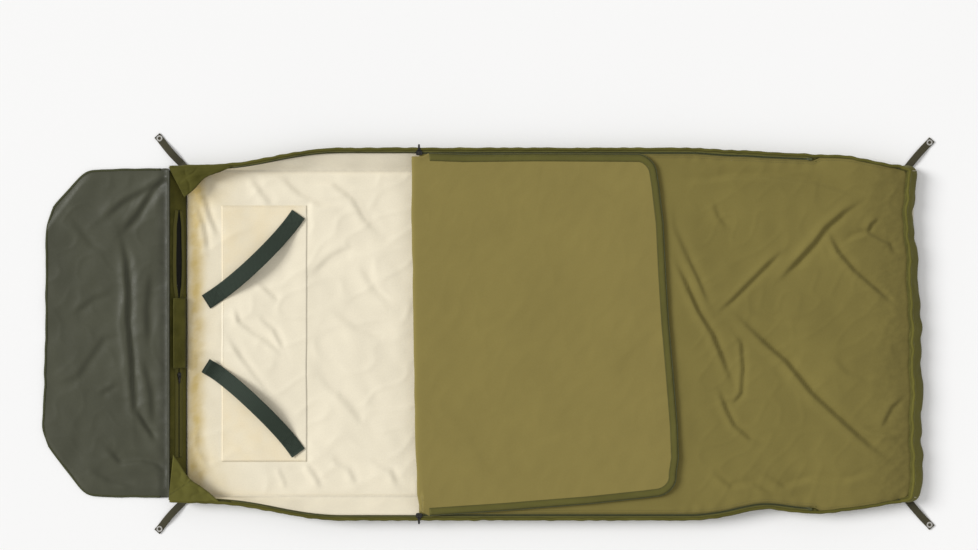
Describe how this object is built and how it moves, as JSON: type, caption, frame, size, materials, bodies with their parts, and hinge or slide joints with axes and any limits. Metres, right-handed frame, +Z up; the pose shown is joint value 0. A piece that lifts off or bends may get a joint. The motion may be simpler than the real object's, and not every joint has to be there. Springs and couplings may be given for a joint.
{
  "type": "casualty bedding bag",
  "caption": "Flat boxed fabric bag with a zipped cover turned back over the foot, a hood flap, corner loops with eyelets and slack mat straps.",
  "frame": {"origin": "middle of the whole outline, on the ground", "axes": "+X towards the foot of the bag, +Y to the left of a person lying in it on their back, seen with the head at -X, +Z up"},
  "size_m": [2.2488, 1.0096, 0.0463],
  "materials": {
    "olive_canvas": "plain woven, matt",
    "foot_canvas": "plain woven, matt",
    "coated_cloth": "coated, satin",
    "cream_lining": "fine woven, soft sheen",
    "panel_cloth": "fine woven, soft sheen",
    "webbing": "woven webbing, matt",
    "loop_webbing": "woven webbing, matt",
    "zip_tape": "herringbone tape, matt",
    "zip_coil": "moulded",
    "zip_metal": "black, semi-gloss",
    "eyelet_metal": "satin",
    "vent_mesh": "open mesh",
    "binding": "folded tape",
    "groundsheet": "coated, satin"
  },
  "bodies": {
    "bag": {"corner_eyelet_left": "eyelet_metal", "corner_eyelet_right": "eyelet_metal", "corner_web_left": "olive_canvas", "corner_web_right": "olive_canvas", "cover_zip_coils_main": "zip_coil", "cover_zip_tapes_main": "zip_tape", "foot_cover_main": "foot_canvas", "groundsheet_main": "groundsheet", "head_wall": "olive_canvas", "lining_main": "cream_lining", "mat_panel": "panel_cloth", "mat_strap_left": "webbing", "mat_strap_right": "webbing", "side_wall_left": "olive_canvas", "side_wall_lining_left": "cream_lining", "side_wall_lining_right": "cream_lining", "side_wall_right": "olive_canvas", "storm_tab": "olive_canvas", "vent_mesh": "vent_mesh", "vent_zip_coils": "zip_coil", "vent_zip_tapes": "zip_tape", "wall_zip_coil_left": "zip_coil", "wall_zip_coil_right": "zip_coil", "wall_zip_tape_left": "zip_tape", "wall_zip_tape_right": "zip_tape"},
    "foot": {"cover_zip_coils_foot": "zip_coil", "cover_zip_tapes_foot": "zip_tape", "foot_cover_foot": "foot_canvas", "foot_side_wall_left": "olive_canvas", "foot_side_wall_lining_left": "cream_lining", "foot_side_wall_lining_right": "cream_lining", "foot_side_wall_right": "olive_canvas", "foot_wall": "olive_canvas", "foot_wall_zip_coil_left": "zip_coil", "foot_wall_zip_coil_right": "zip_coil", "foot_wall_zip_tape_left": "zip_tape", "foot_wall_zip_tape_right": "zip_tape", "groundsheet_foot": "groundsheet", "lining_foot": "cream_lining", "zip_end_stops": "zip_coil"},
    "cover": {"cover_flap": "olive_canvas", "flap_zip_tape": "zip_tape", "flap_zip_coil": "zip_coil"},
    "hood": {"hood_flap": "coated_cloth", "hood_binding": "binding"},
    "vent_slider": {"vent_slider": "zip_metal"},
    "vent_puller": {"vent_puller": "zip_metal"},
    "slider_left": {"zip_slider_left": "zip_metal"},
    "puller_left": {"zip_puller_left": "zip_metal"},
    "head_loop_left": {"head_loop_left": "loop_webbing", "head_loop_eyelet_left": "eyelet_metal"},
    "foot_loop_left": {"foot_loop_left": "loop_webbing", "foot_loop_eyelet_left": "eyelet_metal"},
    "slider_right": {"zip_slider_right": "zip_metal"},
    "puller_right": {"zip_puller_right": "zip_metal"},
    "head_loop_right": {"head_loop_right": "loop_webbing", "head_loop_eyelet_right": "eyelet_metal"},
    "foot_loop_right": {"foot_loop_right": "loop_webbing", "foot_loop_eyelet_right": "eyelet_metal"}
  },
  "joints": [
    {"name": "cover_fold", "type": "hinge", "parent": "bag", "child": "cover", "pos_m": [-0.172, 0, 0.0435], "axis": [0, -1, 0], "range_deg": [0, 180]},
    {"name": "hood_fold", "type": "hinge", "parent": "bag", "child": "hood", "pos_m": [-0.797, 0, 0.027], "axis": [0, 1, 0], "range_deg": [0, 180]},
    {"name": "foot_fold", "type": "hinge", "parent": "bag", "child": "foot", "pos_m": [0.52, 0, 0.048], "axis": [0, -1, 0], "range_deg": [0, 180]},
    {"name": "slider_left_slide", "type": "slide", "parent": "bag", "child": "slider_left", "axis": [1, 0, 0], "range_m": [-0.215, 0.64]},
    {"name": "puller_left_tilt", "type": "hinge", "parent": "slider_left", "child": "puller_left", "pos_m": [-0.172, 0.4597, 0.0401], "axis": [1, 0, 0], "range_deg": [0, 90]},
    {"name": "slider_right_slide", "type": "slide", "parent": "bag", "child": "slider_right", "axis": [1, 0, 0], "range_m": [-0.215, 0.64]},
    {"name": "puller_right_tilt", "type": "hinge", "parent": "slider_right", "child": "puller_right", "pos_m": [-0.172, -0.4597, 0.0401], "axis": [-1, 0, 0], "range_deg": [0, 90]},
    {"name": "vent_slider_slide", "type": "slide", "parent": "bag", "child": "vent_slider", "axis": [0, 1, 0], "range_m": [-0.19, 0.4]},
    {"name": "vent_puller_tilt", "type": "hinge", "parent": "vent_slider", "child": "vent_puller", "pos_m": [-0.77285, -0.1097, 0.02148], "axis": [-0.7138, 0, 0.7004], "range_deg": [0, 90]},
    {"name": "head_loop_left_lift", "type": "hinge", "parent": "bag", "child": "head_loop_left", "pos_m": [-0.7715, 0.428, 0.0018], "axis": [0.7547, 0.6561, 0], "range_deg": [0, 90]},
    {"name": "foot_loop_left_lift", "type": "hinge", "parent": "foot", "child": "foot_loop_left", "pos_m": [1.0547, 0.4169, 0.0018], "axis": [-0.7513, 0.66, 0], "range_deg": [-90, 0]},
    {"name": "head_loop_right_lift", "type": "hinge", "parent": "bag", "child": "head_loop_right", "pos_m": [-0.7715, -0.428, 0.0018], "axis": [-0.7547, 0.6561, 0], "range_deg": [0, 90]},
    {"name": "foot_loop_right_lift", "type": "hinge", "parent": "foot", "child": "foot_loop_right", "pos_m": [1.0547, -0.4169, 0.0018], "axis": [0.7513, 0.66, 0], "range_deg": [-90, 0]}
  ]
}
